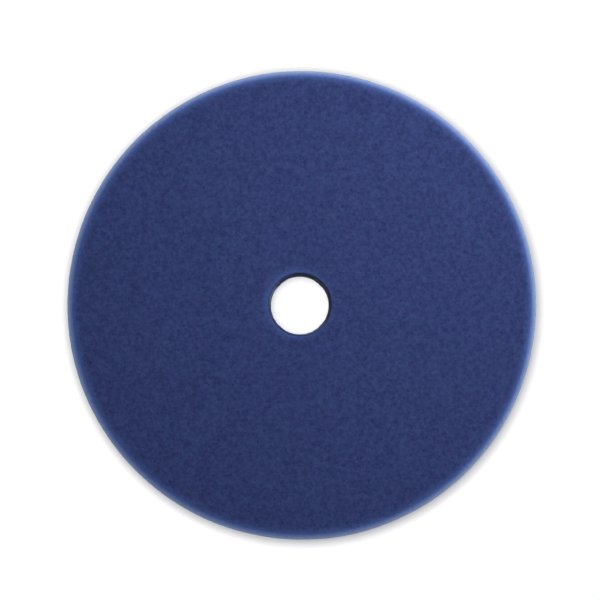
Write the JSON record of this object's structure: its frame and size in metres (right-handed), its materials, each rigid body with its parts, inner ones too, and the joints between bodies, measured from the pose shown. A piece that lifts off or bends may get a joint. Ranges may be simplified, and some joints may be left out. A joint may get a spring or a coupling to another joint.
{
  "type": "foam polishing pad",
  "caption": "Round foam polishing pad with a centre hole, a rounded working rim and a side that leans in to a hook-and-loop backing.",
  "frame": {"origin": "centre of the loop face, where the pad rests", "axes": "+Z along the pad's axis, through the centre hole and out of the working face; X and Y are any two directions across the disc"},
  "size_m": [0.165, 0.165, 0.0254],
  "materials": {
    "foam": "matte",
    "adhesive": "satin",
    "loop_cloth": "matte",
    "loop_pile": "matte"
  },
  "bodies": {
    "root": {"foam_disc": "foam", "adhesive_film": "adhesive", "loop_base_cloth": "loop_cloth", "loop_pile": "loop_pile"}
  },
  "joints": []
}
